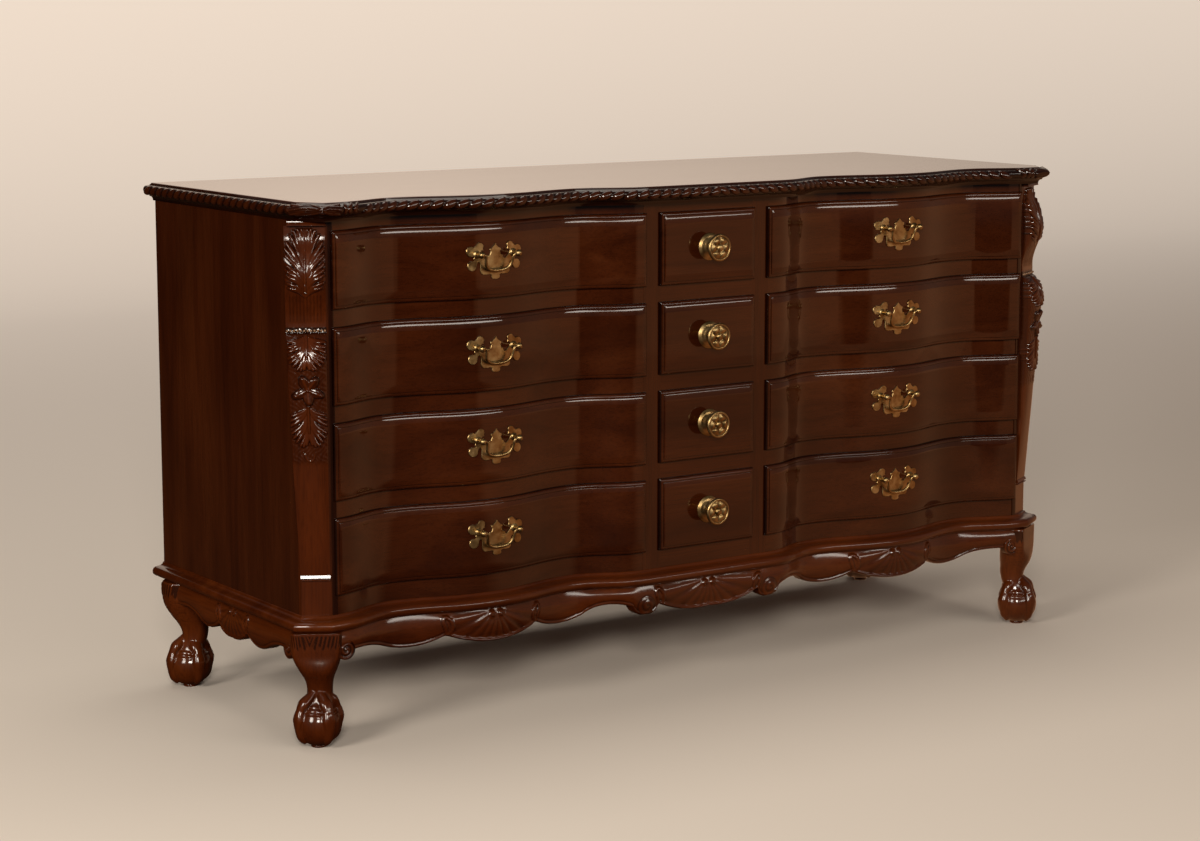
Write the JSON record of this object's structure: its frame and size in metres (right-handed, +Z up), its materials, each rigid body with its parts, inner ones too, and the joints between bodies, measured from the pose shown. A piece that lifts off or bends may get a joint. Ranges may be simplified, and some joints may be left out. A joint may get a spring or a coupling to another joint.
{
  "type": "serpentine dresser",
  "caption": "Wide serpentine-front dresser with lipped drawers in three columns, brass bail pulls and knobs, carved corner posts and ball-and-claw feet.",
  "frame": {"origin": "on the floor, under the middle of the bounding box", "axes": "+X to the right seen from the front, the front faces -Y, +Z up"},
  "size_m": [1.54, 0.558, 0.839],
  "materials": {
    "mahogany": "glossy dark red-brown",
    "drawer_wood": "plain satin",
    "brass": "antique polished"
  },
  "bodies": {
    "case": {"back_left_leg": "mahogany", "back_panel": "drawer_wood", "back_right_leg": "mahogany", "base_frame": "mahogany", "drawer_rails": "mahogany", "dust_frames": "drawer_wood", "front_apron": "mahogany", "front_left_leg": "mahogany", "front_right_leg": "mahogany", "left_corner_post": "mahogany", "left_side_panel": "mahogany", "partitions": "drawer_wood", "right_corner_post": "mahogany", "right_side_panel": "mahogany", "side_aprons": "mahogany", "top_board": "mahogany"},
    "centre_drawer_1": {"centre_drawer_1_box": "drawer_wood", "centre_drawer_1_front": "mahogany", "centre_drawer_1_knob": "brass"},
    "centre_drawer_2": {"centre_drawer_2_box": "drawer_wood", "centre_drawer_2_front": "mahogany", "centre_drawer_2_knob": "brass"},
    "centre_drawer_3": {"centre_drawer_3_box": "drawer_wood", "centre_drawer_3_front": "mahogany", "centre_drawer_3_knob": "brass"},
    "centre_drawer_4": {"centre_drawer_4_box": "drawer_wood", "centre_drawer_4_front": "mahogany", "centre_drawer_4_knob": "brass"},
    "left_drawer_1_handle": {"left_drawer_1_bail": "brass"},
    "left_drawer_1": {"left_drawer_1_box": "drawer_wood", "left_drawer_1_front": "mahogany", "left_drawer_1_pull_plate": "brass"},
    "left_drawer_2_handle": {"left_drawer_2_bail": "brass"},
    "left_drawer_2": {"left_drawer_2_box": "drawer_wood", "left_drawer_2_front": "mahogany", "left_drawer_2_pull_plate": "brass"},
    "left_drawer_3_handle": {"left_drawer_3_bail": "brass"},
    "left_drawer_3": {"left_drawer_3_box": "drawer_wood", "left_drawer_3_front": "mahogany", "left_drawer_3_pull_plate": "brass"},
    "left_drawer_4_handle": {"left_drawer_4_bail": "brass"},
    "left_drawer_4": {"left_drawer_4_box": "drawer_wood", "left_drawer_4_front": "mahogany", "left_drawer_4_pull_plate": "brass"},
    "right_drawer_1_handle": {"right_drawer_1_bail": "brass"},
    "right_drawer_1": {"right_drawer_1_box": "drawer_wood", "right_drawer_1_front": "mahogany", "right_drawer_1_pull_plate": "brass"},
    "right_drawer_2_handle": {"right_drawer_2_bail": "brass"},
    "right_drawer_2": {"right_drawer_2_box": "drawer_wood", "right_drawer_2_front": "mahogany", "right_drawer_2_pull_plate": "brass"},
    "right_drawer_3_handle": {"right_drawer_3_bail": "brass"},
    "right_drawer_3": {"right_drawer_3_box": "drawer_wood", "right_drawer_3_front": "mahogany", "right_drawer_3_pull_plate": "brass"},
    "right_drawer_4_handle": {"right_drawer_4_bail": "brass"},
    "right_drawer_4": {"right_drawer_4_box": "drawer_wood", "right_drawer_4_front": "mahogany", "right_drawer_4_pull_plate": "brass"}
  },
  "joints": [
    {"name": "left_drawer_1_slide", "type": "slide", "parent": "case", "child": "left_drawer_1", "axis": [0, -1, 0], "range_m": [0, 0.36]},
    {"name": "left_drawer_1_bail_swing", "type": "hinge", "parent": "left_drawer_1", "child": "left_drawer_1_handle", "pos_m": [-0.413, -0.25485, 0.7452], "axis": [-1, 0, 0], "range_deg": [0, 100]},
    {"name": "centre_drawer_1_slide", "type": "slide", "parent": "case", "child": "centre_drawer_1", "axis": [0, -1, 0], "range_m": [0, 0.36]},
    {"name": "right_drawer_1_slide", "type": "slide", "parent": "case", "child": "right_drawer_1", "axis": [0, -1, 0], "range_m": [0, 0.36]},
    {"name": "right_drawer_1_bail_swing", "type": "hinge", "parent": "right_drawer_1", "child": "right_drawer_1_handle", "pos_m": [0.413, -0.25485, 0.7452], "axis": [-1, 0, 0], "range_deg": [0, 100]},
    {"name": "left_drawer_2_slide", "type": "slide", "parent": "case", "child": "left_drawer_2", "axis": [0, -1, 0], "range_m": [0, 0.36]},
    {"name": "left_drawer_2_bail_swing", "type": "hinge", "parent": "left_drawer_2", "child": "left_drawer_2_handle", "pos_m": [-0.413, -0.25485, 0.5988], "axis": [-1, 0, 0], "range_deg": [0, 100]},
    {"name": "centre_drawer_2_slide", "type": "slide", "parent": "case", "child": "centre_drawer_2", "axis": [0, -1, 0], "range_m": [0, 0.36]},
    {"name": "right_drawer_2_slide", "type": "slide", "parent": "case", "child": "right_drawer_2", "axis": [0, -1, 0], "range_m": [0, 0.36]},
    {"name": "right_drawer_2_bail_swing", "type": "hinge", "parent": "right_drawer_2", "child": "right_drawer_2_handle", "pos_m": [0.413, -0.25485, 0.5988], "axis": [-1, 0, 0], "range_deg": [0, 100]},
    {"name": "left_drawer_3_slide", "type": "slide", "parent": "case", "child": "left_drawer_3", "axis": [0, -1, 0], "range_m": [0, 0.36]},
    {"name": "left_drawer_3_bail_swing", "type": "hinge", "parent": "left_drawer_3", "child": "left_drawer_3_handle", "pos_m": [-0.413, -0.25485, 0.4524], "axis": [-1, 0, 0], "range_deg": [0, 100]},
    {"name": "centre_drawer_3_slide", "type": "slide", "parent": "case", "child": "centre_drawer_3", "axis": [0, -1, 0], "range_m": [0, 0.36]},
    {"name": "right_drawer_3_slide", "type": "slide", "parent": "case", "child": "right_drawer_3", "axis": [0, -1, 0], "range_m": [0, 0.36]},
    {"name": "right_drawer_3_bail_swing", "type": "hinge", "parent": "right_drawer_3", "child": "right_drawer_3_handle", "pos_m": [0.413, -0.25485, 0.4524], "axis": [-1, 0, 0], "range_deg": [0, 100]},
    {"name": "left_drawer_4_slide", "type": "slide", "parent": "case", "child": "left_drawer_4", "axis": [0, -1, 0], "range_m": [0, 0.36]},
    {"name": "left_drawer_4_bail_swing", "type": "hinge", "parent": "left_drawer_4", "child": "left_drawer_4_handle", "pos_m": [-0.413, -0.25485, 0.306], "axis": [-1, 0, 0], "range_deg": [0, 100]},
    {"name": "centre_drawer_4_slide", "type": "slide", "parent": "case", "child": "centre_drawer_4", "axis": [0, -1, 0], "range_m": [0, 0.36]},
    {"name": "right_drawer_4_slide", "type": "slide", "parent": "case", "child": "right_drawer_4", "axis": [0, -1, 0], "range_m": [0, 0.36]},
    {"name": "right_drawer_4_bail_swing", "type": "hinge", "parent": "right_drawer_4", "child": "right_drawer_4_handle", "pos_m": [0.413, -0.25485, 0.306], "axis": [-1, 0, 0], "range_deg": [0, 100]}
  ]
}
